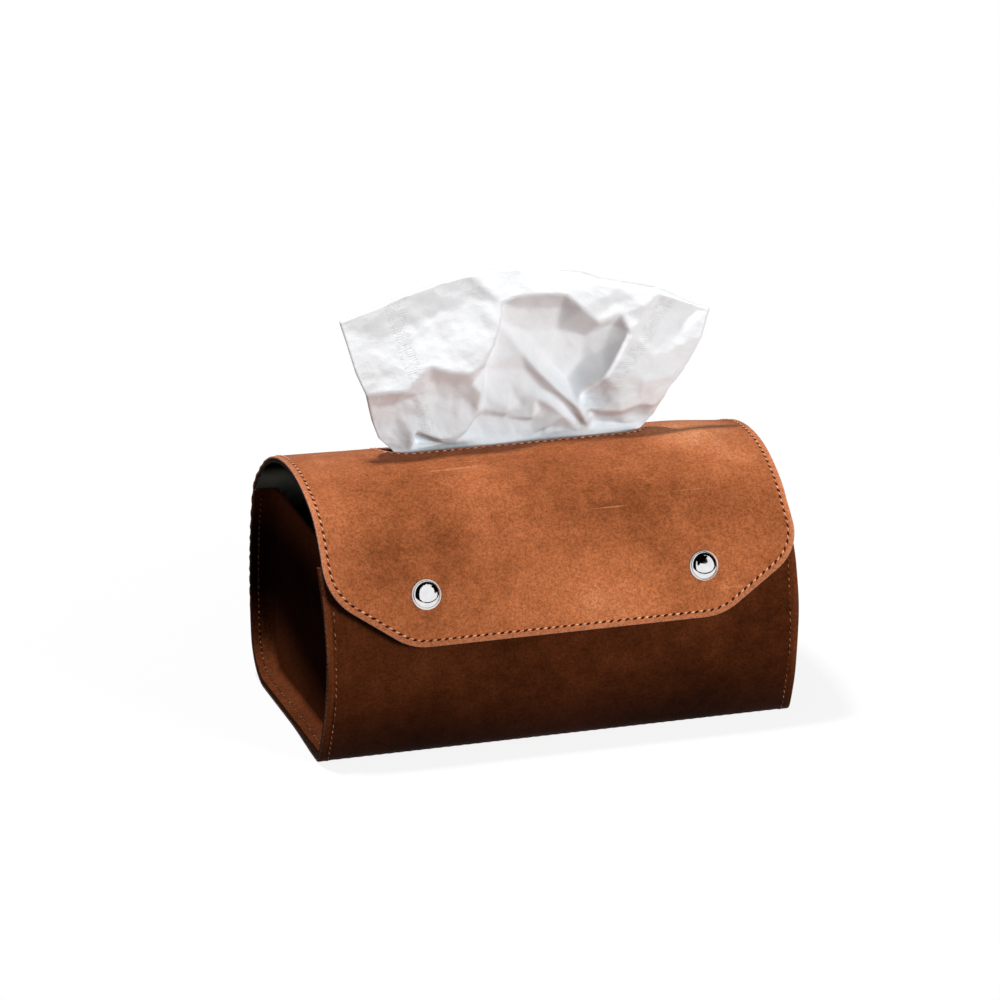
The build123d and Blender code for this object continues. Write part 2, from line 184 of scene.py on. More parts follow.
def wear(x, y, z):
    """How the soft wrap strays from its plan: it sags at the right end of the crown, flares at
    its lower front corners and draws in and out with the stitches at the back."""
    right, left = ease(x, 60, 110), ease(-x, 60, 110)
    crown, low = ease(z, 92, 118), 1 - ease(z, 0, 45)
    front = ease(-y, 0, 50)
    dz = crown * (0.8 * left - 2.4 * right * right)
    dx = -1.3 * right * ease(z, 84, 104) * (1 - 0.6 * ease(z, 112, 122))
    dx = dx + 1.4 * low * front * (ease(x, 85, 110) - ease(-x, 85, 110))
    dx = dx + 0.9 * ease(x, 90, 110) * front * ease(z, 10, 40) * (1 - ease(z, 70, 95))
    dx = dx + 0.8 * left * ease(y, 20, 60) * ease(z, 85, 108)
    ends = ease(np.abs(x), 98, 109)
    ripple = np.sin(z * math.tau / 6.1 + 2 * np.sin(z / 9)) * ease(y, 20, 50) * ease(z, 25, 45)
    dx = dx + 0.22 * np.sign(x) * ends * ripple
    dy = 0.5 * ends * np.sin(z / 7 + x) * ease(-y, 20, 50) * ease(z, 8, 30) * (1 - ease(z, 60, 80))
    return dx, dy, dz


def place(points, depth=0.0):
    """3-D points of (x, run) points at a depth under the outer face."""
    x, run = np.asarray(points, float).T[:2]
    turn = np.radians(np.interp(run, RUN, ANGLES))
    y, z = np.interp(run, RUN, YS), np.interp(run, RUN, ZS)
    dx, dy, dz = wear(x, y, z)
    y = y - depth * np.cos(turn)
    z = z - depth * np.sin(turn)
    return np.stack([x + dx, y + dy, z + dz], 1)


def outward(points):
    """Directions out of the wrap at (x, run) points."""
    turn = np.radians(np.interp(np.asarray(points, float).T[1], RUN, ANGLES))
    return np.stack([0 * turn, np.cos(turn), np.sin(turn)], 1)


# ---- outlines in (x, run)
def rounded(corners, radius, inset=0.0, step=2.0):
    """An open path with rounded corners, moved inwards, to its right. Every inset gives as
    many points."""
    corners = [Vector(c) for c in corners]
    sides = [(b - a).normalized() for a, b in zip(corners, corners[1:])]
    inner = [Vector((d.y, -d.x)) for d in sides]
    r = max(radius - inset, 0.05)
    path, last, cut_off = [], corners[0] + inner[0] * inset, 0.0
    for i, side in enumerate(sides):
        turn = side.angle(sides[i + 1]) if i + 1 < len(sides) else 0.0
        half = math.tan(turn / 2)
        centre = corners[i + 1] + (inner[i] - side * half) * (inset + r)
        to = centre - inner[i] * r
        length = (corners[i + 1] - corners[i]).length - cut_off - radius * half
        n = max(1, math.ceil(length / step))
        path += [last.lerp(to, k / n) for k in range(n)]
        last, cut_off = to, radius * half
        if turn:
            n = max(3, math.ceil(radius * turn / step))
            for a in np.linspace(0, turn, n, endpoint=False):
                path.append(centre - inner[i] * r * math.cos(a) + side * r * math.sin(a))
            last = centre - inner[i + 1] * r
    return [tuple(p) for p in path + [last]]


def back_outline(inset, step=2.0):
    half = WIDTH / 2
    corners = [(half, RUN_MEET), (half, 0), (-half, 0), (-half, RUN_MEET)]
    return rounded(corners, PANEL_CORNER_R, inset, step)


def front_outline(inset, step=2.0):
    half, shoulder = WIDTH / 2, run_at_flap_z(FLAP_EDGE_Z + FLAP_CUT_Z)
    cut = half - FLAP_CUT_X
    corners = [(-half, RUN_MEET), (-half, shoulder), (-cut, RUN_END), (cut, RUN_END)]
    corners += [(half, shoulder), (half, RUN_MEET)]
    return rounded(corners, FLAP_CORNER_R, inset, step)


def round_box(hx, hy, quarter, along_x, along_y):
    """Corner centres and directions round a rounded rectangle."""
    loop = []
    for i, (sx, sy) in enumerate(((1, 1), (-1, 1), (-1, -1), (1, -1))):
        x, y = sx * hx, sy * hy
        loop += [(x, y, math.pi / 2 * (i + k / quarter)) for k in range(quarter + 1)]
        dx, dy, n = (0, -2 * y, along_y) if i % 2 else (-2 * x, 0, along_x)
        loop += [(x + dx * k / n, y + dy * k / n, loop[-1][2]) for k in range(1, n)]
    return loop


def slot_loop(grow, step=1.6):
    """The slot seen from above, grown outwards."""
    r = SLOT_CORNER_R + grow
    hx, hy = SLOT_L / 2 - SLOT_CORNER_R, SLOT_W / 2 - SLOT_CORNER_R
    mid_y = SLOT_FRONT_Y + SLOT_W / 2
    counts = [math.ceil(v / step) for v in (math.pi / 2 * SLOT_CORNER_R, 2 * hx, 2 * hy)]
    return [(x + r * math.cos(a), run_at_lid_y(mid_y + y + r * math.sin(a)))
            for x, y, a in round_box(hx, hy, *counts)]


def along(path, shares):
    """Points at shares of a path's length."""
    path = np.array(path, float)
    run = lengths(path)
    run /= run[-1]
    return np.stack([np.interp(shares, run, c) for c in path.T], -1)


def resample(path, pitch):
    """Points at an even pitch along a path."""
    n = max(1, round(lengths(path)[-1] / pitch))
    return along(path, np.linspace(0, 1, n + 1))


# ---- meshes
def new_object(name, data):
    obj = bpy.data.objects.new(name, data)
    bpy.context.collection.objects.link(obj)
    return obj


def new_mesh(name, vertices, faces, materials):
    mesh = bpy.data.meshes.new(name)
    mesh.from_pydata(vertices, [], faces)
    for m in materials:
        mesh.materials.append(m)
    return mesh


def make_object(name, vertices, faces, materials, uv=None, indices=None, floats=None):
    """Mesh object from millimetres, with UVs and float attributes given per vertex."""
    mesh = new_mesh(name, [tuple(v * MM for v in p) for p in vertices], faces, materials)
    if indices:
        mesh.polygons.foreach_set("material_index", indices)
    mesh.polygons.foreach_set("use_smooth", [True] * len(faces))
    if uv:
        layer = mesh.uv_layers.new(name="Flat")
        loops = np.empty(len(mesh.loops), int)
        mesh.loops.foreach_get("vertex_index", loops)
        layer.data.foreach_set("uv", (np.asarray(uv)[loops] * MM).ravel())
    for key, values in (floats or {}).items():
        mesh.attributes.new(key, "FLOAT", "POINT").data.foreach_set("value", values)
    mesh.validate()
    return new_object(name, mesh)


def strip(upper, lower, closed=True):
    """Quads between two rows of vertex numbers."""
    n = len(upper)
    return [(upper[i], upper[(i + 1) % n], lower[(i + 1) % n], lower[i])
            for i in range(n if closed else n - 1)]


def ring(centre, a, b, sides):
    """Points round an ellipse with half axes a and b."""
    turns = [math.tau * k / sides for k in range(sides)]
    return [centre + a * math.cos(t) + b * math.sin(t) for t in turns]


def rings(count, size, start=0):
    """Quads over closed rings of vertices, numbered one ring after another."""
    rows = [range(start + i * size, start + (i + 1) * size) for i in range(count)]
    return [quad for a, b in zip(rows, rows[1:]) for quad in strip(a, b)]


def distances(points, path):
    """Distance of each point from the nearest vertex or side of a path."""
    points, path = np.asarray(points, float), np.asarray(path, float)
    best = np.full(len(points), 1e9)
    for a, b in zip(path, path[1:]):
        d = b - a
        t = np.clip(((points - a) @ d) / (d @ d), 0, 1)
        best = np.minimum(best, np.linalg.norm(points - a - t[:, None] * d, axis=1))
    return best


def in_loop(point, loop):
    """Whether a point is inside a closed loop."""
    inside = False
    x, y = point
    for (ax, ay), (bx, by) in zip(loop, loop[1:] + loop[:1]):
        if (ay > y) != (by > y) and x < ax + (y - ay) * (bx - ax) / (by - ay):
            inside = not inside
    return inside


ROUND, BEVEL = 0.35, 0.1  # rounding of a cut edge
RING = 1.0  # a second row of points inside the edge
CLEAR = 0.9  # from that row to the next points
ROW, COLUMN = 2.2, 4.6  # spacing of points along the wrap and across it
MEET_POINTS = 51  # across the line where the two skins meet
INNER = Vector((0, 0, 0.06))  # a point inside the box


def field(low, high, cuts, solid):
    """A staggered grid of points inside the outline, clear of the cut edges and the seam."""
    grid = []
    for j, run in enumerate(np.arange(low, high, ROW)):
        shift = (j % 2) * COLUMN / 2
        grid += [(x + shift, run) for x in np.arange(-WIDTH / 2, WIDTH / 2, COLUMN)]
    grid = np.array(grid)
    near = np.minimum.reduce([distances(grid, p) for p in cuts])
    kept = (near > RING + CLEAR) & (np.abs(grid[:, 1] - RUN_MEET) > CLEAR)
    kept &= [in_loop(p, solid) and not any(in_loop(p, gap) for gap in cuts[1:]) for p in grid]
    return [tuple(p) for p in grid[kept]]


def triangulate(loops, row, grid):
    """Triangles over closed loops, the open row inside the first and a grid. Returns points,
    triangles and each given point's new number."""
    flat = [p for loop in loops for p in loop]
    edges, at = [], 0
    for loop in loops:
        edges += [(at + i, at + (i + 1) % len(loop)) for i in range(len(loop))]
        at += len(loop)
    edges += [(at + i, at + i + 1) for i in range(len(row) - 1)]
    out = delaunay_2d_cdt([Vector(p) for p in flat + row + grid], edges, [], 1, 1e-5)
    order = {o: i for i, origins in enumerate(out[3]) for o in origins}
    return np.array([tuple(v) for v in out[0]]), [tuple(f) for f in out[2]], order


def shell(name, outline, hole, face, back, trim, materials):
    """A layer of the wrap, from the depth of its face over a rounded cut edge to the depth of
    its back, cut short by trim. It is open where the two skins meet. It carries each point's
    distance from the cut edge and its place along the wrap."""
    rim = outline(trim + ROUND)
    shares = np.linspace(0, 1, MEET_POINTS)[1:-1]
    meet = [((1 - t) * rim[-1][0] + t * rim[0][0], RUN_MEET) for t in shares]
    loops, cuts = [rim + meet], [outline(trim)]
    rims = [(outline, 0, len(rim), False)]
    if hole:
        loops += [hole(trim + ROUND), hole(trim + RING)]
        cuts.append(hole(trim) + hole(trim)[:1])
        rims.append((hole, len(loops[0]), len(loops[1]), True))
    low, high = min(p[1] for p in rim), max(p[1] for p in rim)
    grid = field(low, high, cuts, outline(trim) + [outline(trim)[0]])
    points, faces, order = triangulate(loops, outline(trim + RING), grid)
    if hole:
        faces = [t for t in faces if not in_loop(points[list(t)].mean(0), loops[1])]
    flat_faces = len(faces)
    vertices, flats = [*place(points, face)], [*points]
    edge = [*np.minimum.reduce([distances(points, p) for p in cuts])]
    way, thick = (1 if back > face else -1), abs(back - face)
    profile = [(BEVEL, BEVEL), (0.0, ROUND), (0.0, thick - ROUND), (BEVEL, thick - BEVEL)]
    profile += [(ROUND, thick), (3 * ROUND, thick)]
    for path, start, count, closed in rims:
        upper = [order[start + i] for i in range(count)]
        for inset, down in profile:
            row = path(trim + inset)
            lower = list(range(len(vertices), len(vertices) + count))
            vertices += [*place(row, face + way * down)]
            flats += row
            edge += [inset] * count
            faces += strip(upper, lower, closed)
            upper = lower
    indices = [0] * flat_faces + [1] * (len(faces) - flat_faces)
    runs = [p[1] for p in flats]
    obj = make_object(name, vertices, faces, materials, flats, indices, {"edge": edge, "run": runs})
    face_outwards(obj, flat_faces // 2, way)
    return obj


def face_outwards(obj, probe, way):
    """Turns all faces one way: out of the wrap (1) or into it (-1) at the probed face."""
    bm = bmesh.new()
    bm.from_mesh(obj.data)
    bmesh.ops.recalc_face_normals(bm, faces=bm.faces)
    bm.faces.ensure_lookup_table()
    face = bm.faces[probe]
    if face.normal.dot(face.calc_center_median() - INNER) * way < 0:
        bmesh.ops.reverse_faces(bm, faces=bm.faces)
    bm.to_mesh(obj.data)
    bm.free()


# ---- materials
def rgb(*levels):
    """Linear colour from 0-255 screen values."""
    parts = [c / 255 for c in levels]
    return (*[c / 12.92 if c <= 0.04045 else ((c + 0.055) / 1.055) ** 2.4 for c in parts], 1)


class Nodes:
    """The node tree of a new material or world, with short ways to add nodes and links."""

    def __init__(self, name, kind="materials"):
        self.owner = getattr(bpy.data, kind).new(name)
        self.owner.use_nodes = True
        self.tree = self.owner.node_tree

    def add(self, kind, inputs=(), **settings):
        node = self.tree.nodes.new("ShaderNode" + kind)
        for key, value in settings.items():
            setattr(node, key, value)
        for key, value in dict(inputs).items():
            self.put(node.inputs[key], value)
        return node

    def put(self, socket, value):
        if isinstance(value, bpy.types.NodeSocket):
            self.tree.links.new(value, socket)
        elif value is not None:
            socket.default_value = value

    def flat(self):
        return self.add("UVMap", uv_map="Flat").outputs[0]

    def local(self):
        return self.add("TexCoord").outputs["Object"]

    def value(self, name):
        return self.add("Attribute", attribute_name=name).outputs["Fac"]

    def parts(self, vector):
        return self.add("SeparateXYZ", {"Vector": vector}).outputs

    def noise(self, vector, scale, detail=2.0, roughness=0.5, distortion=0.0):
        node = self.add("TexNoise", {"Vector": vector, "Scale": scale, "Detail": detail,
                                     "Roughness": roughness, "Distortion": distortion})
        return node.outputs["Fac"]

    def ramp(self, value, *stops):
        node = self.add("ValToRGB", {"Fac": value})
        marks = node.color_ramp.elements
        while len(marks) < len(stops):
            marks.new(0.5)
        for mark, (position, colour) in zip(marks, stops):
            mark.position = position
            mark.color = colour
        return node.outputs["Color"]

    def span(self, value, low, high, to_low=0.0, to_high=1.0):
        node = self.add("MapRange", {"Value": value, "From Min": low, "From Max": high,
                                     "To Min": to_low, "To Max": to_high},
                        interpolation_type="SMOOTHSTEP")
        return node.outputs["Result"]

    def mix(self, factor, a, b, kind="MIX"):
        node = self.add("Mix", {0: factor, 6: a, 7: b}, data_type="RGBA", blend_type=kind,
                        clamp_factor=True)
        return node.outputs[2]

    def math(self, kind, a, b=0.0):
        return self.add("Math", {0: a, 1: b}, operation=kind).outputs[0]

    def near(self, value, centre, half):
        """1 at the centre, falling to 0 at half on both sides."""
        off = self.math("ABSOLUTE", self.math("SUBTRACT", value, centre))
        return self.span(off, 0.0, half, 1.0, 0.0)

    def times(self, a, b):
        return self.math("MULTIPLY", a, b)

    def plus(self, a, b):
        return self.math("ADD", a, b)

    def bump(self, height, distance, strength=1.0, normal=None):
        node = self.add("Bump", {"Height": height, "Distance": distance, "Strength": strength,
                                 "Normal": normal})
        return node.outputs["Normal"]

    def finish(self, colour, rough, specular, normal=None, metal=0.0):
        values = {"Base Color": colour, "Roughness": rough, "Specular IOR Level": specular,
                  "Metallic": metal, "Normal": normal}
        shader = self.tree.nodes["Principled BSDF"]
        for key, value in values.items():
            self.put(shader.inputs[key], value)
        return self.owner

    def is_seen(self):
        """1 for the camera's rays and for those in mirrors and glass."""
        rays = self.add("LightPath").outputs
        seen = rays["Is Camera Ray"]
        for kind in ("Is Glossy Ray", "Is Transmission Ray"):
            seen = self.math("MAXIMUM", seen, rays[kind])
        return seen

    def surface(self, output, shader):
        self.put(self.tree.nodes[output].inputs["Surface"], shader.outputs[0])


LID_DARK = rgb(152, 84, 47)
LID_MID = rgb(184, 106, 63)
LID_LIGHT = rgb(210, 124, 77)
LID_PALE = rgb(246, 164, 112)
LID_EDGE = rgb(216, 136, 96)
# Painted shade: darker over the lid's top, where the light from above falls most
PAINTED_TOP_SHADE = rgb(212, 212, 214)  # lid's top, over the flap's colours
LID_SCRATCH = rgb(224, 158, 110)
# The tray's dark brown is partly the leather's colour and partly painted shade
TRAY_DARK = rgb(56, 24, 8)
TRAY_MID = rgb(78, 37, 16)
TRAY_LIGHT = rgb(96, 48, 24)
TRAY_EDGE = rgb(122, 64, 34)
# Painted shade round the bend at the tray's foot
PAINTED_FOOT_SHADE = rgb(132, 122, 114)

# Broad lighter and darker places on the lid and flap, stains and painted light and shade: x, run
# from the flap's edge, reach, tone
STAINS_AND_PAINTED_LIGHT = [
    (-84, 38, 26, -0.12), (-50, 44, 20, -0.08), (34, 58, 30, -0.09), (66, 56, 28, -0.06),
    (0, 8, 70, 0.12), (6, 44, 48, -0.12), (88, 26, 46, 0.12), (84, 108, 40, 0.36),
    (0, 98, 30, 0.08), (-100, 62, 34, 0.2), (-84, 104, 36, 0.12), (72, 102, 26, 0.16),
    (0, 92, 40, -0.1), (97, 74, 34, 0.16), (-30, 12, 44, 0.06),
]


def leather_look(n, vector):
    """Mottling, grain and bump that every leather shares: two factors and a normal."""
    clouds = n.noise(vector, 17, 4, 0.5, 0.4)
    patches = n.noise(vector, 130, 5, 0.7)
    grain = n.noise(vector, 620, 4, 0.75)
    pores = n.add("TexVoronoi", {"Vector": vector, "Scale": 1400.0}).outputs["Distance"]
    tone = n.plus(n.times(clouds, 0.6), n.times(patches, 0.4))
    speck = n.plus(n.times(grain, 0.75), n.times(pores, 0.25))
    normal = n.bump(n.noise(vector, 130, 4, 0.6), 0.0004, 0.3)
    normal = n.bump(speck, 0.00018, 0.55, normal)
    return tone, speck, normal


def speckled(n, colour, speck):
    shade = n.span(speck, 0.34, 0.64, 0.66, 1.18)
    return n.mix(1.0, colour, shade, "MULTIPLY")


def wrap_leather():
    """One hide: tan on the lid and flap, dark brown round the tray, that brown partly painted
    shade.
    """
    n = Nodes("wrap_leather")
    vector = n.flat()
    tone, speck, normal = leather_look(n, vector)
    edge, run = n.value("edge"), n.value("run")
    # stains, and painted light and shade where the lamps fall unevenly
    for x, up, reach, change in STAINS_AND_PAINTED_LIGHT:
        centre = (x * MM, (RUN_END - up) * MM, 0)
        off = n.add("VectorMath", {0: vector, 1: centre}, operation="DISTANCE").outputs["Value"]
        tone = n.plus(tone, n.span(off, 0.0, reach * MM, change, 0.0))
    lid = n.ramp(tone, (0.36, LID_DARK), (0.5, LID_MID), (0.64, LID_LIGHT), (0.9, LID_PALE))
    tray = n.ramp(tone, (0.36, TRAY_DARK), (0.5, TRAY_MID), (0.64, TRAY_LIGHT))
    rubbed = n.span(edge, 0.4, 4.2, 1.0, 0.0)
    # painted shade over the lid's top, fading out down the flap
    top = n.span(run, RUN_BEND - 10, RUN_BEND + 60, 1.0, 0.0)
    lid = n.mix(top, lid, n.mix(1.0, lid, PAINTED_TOP_SHADE, "MULTIPLY"))
    lid = n.mix(n.times(rubbed, 0.55), lid, LID_EDGE)
    tray = n.mix(n.times(n.span(edge, 0.3, 5.5, 1.0, 0.0), 0.6), tray, TRAY_EDGE)
    streak = n.add("Mapping", {"Vector": vector, "Rotation": (0, 0, 0.5),
                               "Scale": (14.0, 260.0, 1.0)}).outputs[0]
    scratch = n.span(n.noise(streak, 1.0, 2, 0.5), 0.69, 0.75)
    lid = n.mix(n.times(scratch, 0.3), lid, LID_SCRATCH)
    # painted shade round the foot of the tray
    tray = n.mix(n.near(run, RUN_FOOT, 46.0), tray, n.mix(1.0, tray, PAINTED_FOOT_SHADE, "MULTIPLY"))
    colour = n.mix(n.span(run, RUN_HINGE - 25, RUN_HINGE + 12, 1.0, 0.0), lid, tray)
    groove = n.times(n.near(edge, SEAM_IN, 1.1), -0.5)
    roll = n.times(n.span(edge, 0.0, 3.4, 1.0, 0.0), -1.0)
    normal = n.bump(n.plus(groove, roll), 0.0008, 0.5, normal)
    rough = n.span(tone, 0.3, 0.7, 0.72, 0.58)
    return n.finish(speckled(n, colour, speck), rough, 0.05, normal)


def raw_edge():
    """Cut edge of the leather: pale and fibrous."""
    n = Nodes("raw_edge")
    fibre = n.noise(n.flat(), 800, 4, 0.7)
    lid = n.ramp(fibre, (0.3, rgb(150, 90, 70)), (0.7, rgb(226, 172, 148)))
    tray = n.ramp(fibre, (0.4, rgb(52, 26, 18)), (0.7, rgb(150, 100, 78)))
    dark = n.span(n.value("run"), RUN_HINGE - 10, RUN_HINGE + 12, 1.0, 0.0)
    return n.finish(n.mix(dark, lid, tray), 0.85, 0.1, n.bump(fibre, 0.0002, 0.6))


def gusset_leather():
    """End panels: brown near the table and above about 100 mm, with a near-black band of painted
    shade between.
    """
    n = Nodes("gusset_leather")
    vector = n.local()
    tone, speck, normal = leather_look(n, vector)
    at = n.parts(vector)
    # painted shade: near black where the lid shades the end panel
    middle = n.ramp(tone, (0.36, rgb(30, 13, 8)), (0.66, rgb(46, 21, 12)))
    high = n.ramp(tone, (0.36, rgb(100, 50, 30)), (0.66, rgb(126, 67, 43)))
    top = n.mix(n.span(at["Z"], 0.066, 0.1), middle, high)
    low = n.ramp(tone, (0.36, rgb(86, 43, 24)), (0.66, rgb(118, 64, 37)))
    height = n.plus(at["Z"], n.times(at["Y"], -0.2))
    colour = n.mix(n.span(height, 0.004, 0.034, 1.0, 0.0), top, low)
    return n.finish(speckled(n, colour, speck), 0.75, 0.0, normal)


def suede():
    """Lining: dark inside, partly painted shade of the box's inside, with a paler grey nap where it
    shows at the back of the lid.
    """
    n = Nodes("lining_suede")
    vector, run = n.flat(), n.value("run")
    nap = n.noise(vector, 2200, 4, 0.7)
    tone = n.plus(n.times(nap, 0.5), n.times(n.noise(vector, 35, 3), 0.5))
    # the dark lining is partly painted shade inside the box
    dark = n.ramp(tone, (0.35, rgb(24, 19, 16)), (0.65, rgb(44, 36, 31)))
    pale = n.ramp(tone, (0.35, rgb(150, 154, 146)), (0.65, rgb(196, 199, 190)))
    back = n.span(run, RUN_HINGE - 16, RUN_HINGE + 12)
    back = n.times(back, n.span(run, run_at_lid_y(58), run_at_lid_y(42), 1.0, 0.0))
    return n.finish(n.mix(back, dark, pale), 0.95, 0.0, n.bump(nap, 0.0002, 0.6))


def lining_edge():
    n = Nodes("lining_edge")
    fibre = n.noise(n.flat(), 1400, 4, 0.7)
    colour = n.ramp(fibre, (0.4, rgb(16, 11, 10)), (0.72, rgb(74, 54, 46)))
    return n.finish(colour, 0.95, 0.05, n.bump(fibre, 0.0002, 0.6))


def thread():
    n = Nodes("thread")
    vector = n.local()
    twist = n.add("TexWave", {"Vector": vector, "Scale": 900.0, "Distortion": 3.0})
    colour = n.ramp(n.noise(vector, 500, 2), (0.35, rgb(192, 126, 88)), (0.7, rgb(240, 190, 154)))
    return n.finish(colour, 0.6, 0.3, n.bump(twist.outputs["Fac"], 0.0001, 0.6))


def dark_thread():
    """Thread round the tray, mottled from dark to light brown."""
    n = Nodes("dark_thread")
    vector = n.local()
    colour = n.ramp(n.noise(vector, 420, 2), (0.42, rgb(84, 44, 26)), (0.68, rgb(186, 134, 100)))
    return n.finish(colour, 0.65, 0.2, n.bump(n.noise(vector, 1500), 0.0001, 0.6))


# Dark slits over the leather: painted shade of the needle holes
def needle_hole():
    n = Nodes("needle_hole")
    colour = n.ramp(n.noise(n.local(), 600, 2), (0.3, rgb(40, 14, 7)), (0.7, rgb(96, 42, 22)))
    return n.finish(colour, 0.9, 0.05)


def polished(name, tint, rough):
    """Metal with a faint wear pattern in its polish."""
    n = Nodes(name)
    wear_marks = n.noise(n.local(), 260, 4, 0.6)
    colour = n.mix(n.span(wear_marks, 0.3, 0.7), tint, (*[0.9 * c for c in tint[:3]], 1))
    normal = n.bump(n.noise(n.local(), 300, 2), 0.00002, 0.3)
    return n.finish(colour, n.span(wear_marks, 0.35, 0.7, rough, rough + 0.06), 0.5, normal, 1.0)


def tissue_paper():
    """Two-ply tissue: soft fibre, and two crimped strips along its sides."""
    n = Nodes("tissue_paper")
    vector = n.flat()
    fibre = n.noise(vector, 1500, 5, 0.65)
    soft = n.noise(vector, 110, 5, 0.65)
    at = n.parts(vector)
    row = n.math("SINE", n.times(at["Y"], math.tau / 0.0016))
    dashes = n.math("GREATER_THAN", row, 0.25)
    breaks = n.span(n.noise(vector, 260, 3), 0.4, 0.56)
    strips = 0.0
    for start, lean in ((-0.0577, -0.07), (0.0336, 0.258)):
        line = n.plus(n.times(at["Y"], lean), start)
        off = n.math("ABSOLUTE", n.math("SUBTRACT", at["X"], line))
        strips = n.plus(n.span(off, 0.0034, 0.0052, 1.0, 0.0), strips)
    crimp = n.times(n.times(dashes, breaks), strips)
    crimp = n.times(crimp, n.value("outside"))
    facet = n.add("TexVoronoi", {"Vector": vector, "Scale": 170.0}).outputs["Distance"]
    colour = n.ramp(fibre, (0.3, rgb(240, 241, 243)), (0.7, rgb(248, 249, 251)))
    # painted shade in the embossed dashes of the crimped strips
    colour = n.mix(n.times(crimp, 0.14), colour, rgb(150, 148, 146))
    # painted light: a cool tint low on the sheet cancels warm light bounced from the leather
    cool_tint_against_bounce = n.span(n.parts(n.local())["Z"], 0.124, 0.168, 0.6, 0.0)
    colour = n.mix(cool_tint_against_bounce, colour, rgb(228, 240, 247))
    normal = n.bump(soft, 0.0007, 0.45)
    normal = n.bump(facet, 0.0006, 0.3, normal)
    normal = n.bump(fibre, 0.00012, 0.5, normal)
    normal = n.bump(crimp, 0.0005, 0.55, normal)
    return n.finish(colour, 0.9, 0.1, normal)


def stacked_paper():
    n = Nodes("stacked_paper")
    fibre = n.noise(n.local(), 900, 5, 0.65)
    colour = n.ramp(fibre, (0.3, rgb(228, 228, 228)), (0.7, rgb(244, 244, 244)))
    return n.finish(colour, 0.95, 0.05, n.bump(fibre, 0.0002, 0.5))


SEAM_IN = 3.0  # from the edge of lid and flap
SLOT_SEAM = 2.8
END_SEAM, END_SEAM_BACK = 4.1, 3.4  # through the end panels' flanges, at the front and back

leather = wrap_leather()
edge_look = raw_edge()
lining = suede()
lining_rim = lining_edge()
thread_look = thread()
dark_thread_look = dark_thread()
hole_look = needle_hole()
chrome = polished("chrome", (0.86, 0.86, 0.87, 1), 0.04)
steel = polished("spring_steel", (0.6, 0.6, 0.6, 1), 0.25)
gusset_look = gusset_leather()
paper = tissue_paper()
stack_look = stacked_paper()

# Depth of the face, depth of its back, trim and looks
HIDE = (0.0, LEATHER_T, 0.0, [leather, edge_look])
LINING = (WALL_T, LEATHER_T, 0.15, [lining, lining_rim])


def build_skin(name, outline, hole, layer, nodes):
    skin = shell(name, outline, hole, *layer)
    if outline is back_outline:
        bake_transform(skin)
    else:
        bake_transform(skin)
    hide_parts(*nodes)


build_skin("wrap_back_leather", back_outline, None, HIDE, ["tray_outer"])
build_skin("wrap_back_lining", back_outline, None, LINING, ["tray_lining"])
build_skin("wrap_front_leather", front_outline, slot_loop, HIDE, ["lid_outer", "flap_outer"])
build_skin("wrap_front_lining", front_outline, slot_loop, LINING, ["lid_lining", "flap_lining"])

# ---- stitches
STITCH, END_STITCH = 3.65, 3.15  # from hole to hole
THREAD_R = 0.42
THREAD_RINGS, THREAD_SIDES = 5, 6
SLIT_HALF, SLIT_LIFT, SLIT_SIDES = (1.15, 0.52), 0.05, 8
SEAM_STEP = 0.8
random.seed(4)


def unit(v):
    return v / np.linalg.norm(v)


def slit(spot, n, ahead, scale):
    """A slanted needle slit as a ring of points."""
    slant = math.radians(random.uniform(12, 24))
    long_way = ahead * math.cos(slant) + np.cross(n, ahead) * math.sin(slant)
    short_way = np.cross(n, long_way)
    half = [scale * v for v in SLIT_HALF]
    return ring(spot + n * SLIT_LIFT, long_way * half[0], short_way * half[1], SLIT_SIDES)


def bulge(a, b, n, width):
    """Rings of points round the thread that shows between two slits."""
    step = b - a
    beside = np.cross(n, unit(step))
    swing = random.uniform(0.12, 0.3)
    points = []
    for k in range(THREAD_RINGS):
        u = k / (THREAD_RINGS - 1)
        arch = math.sin(math.pi * u)
        centre = a + step * (0.21 + 0.58 * u) + beside * swing * (2 * u - 1)
        centre = centre + n * (0.3 * arch - 0.16)
        r = THREAD_R * width * (0.5 + 0.5 * arch)
        points += ring(centre, beside * r, n * 0.8 * r, THREAD_SIDES)
    return points


def seam(name, paths, looks, depth=0.0, side=1, width=1.0, cut=1.0, pitch=STITCH):
    """A row of stitches along (x, run) paths, on the outer (side 1) or inner (-1) face of
    what lies at that depth: slanted slits, with a short bulge of thread between each two."""
    vertices, faces, indices = [], [], []
    for path in paths:
        flat = resample(path, pitch)
        spots, normals = place(flat, depth), outward(flat) * side
        last = len(flat) - 1
        for i in range(last + 1):
            ahead = unit(spots[min(i + 1, last)] - spots[max(i - 1, 0)])
            faces.append(tuple(range(len(vertices), len(vertices) + SLIT_SIDES)))
            indices.append(1)
            vertices += slit(spots[i], normals[i], ahead, cut)
            if i < last:
                tube = rings(THREAD_RINGS, THREAD_SIDES, len(vertices))
                faces += tube
                indices += [0] * len(tube)
                n = unit(normals[i] + normals[i + 1])
                vertices += bulge(spots[i], spots[i + 1], n, width)
    return make_object(name, vertices, faces, looks, indices=indices)


def part_of(path, low, high):
    """The stretches of a path between two runs."""
    pieces, piece = [], []
    for p in path:
        if low <= p[1] <= high:
            piece.append(p)
        elif piece:
            pieces.append(piece)
            piece = []
    return [p for p in pieces + [piece] if len(p) > 3]


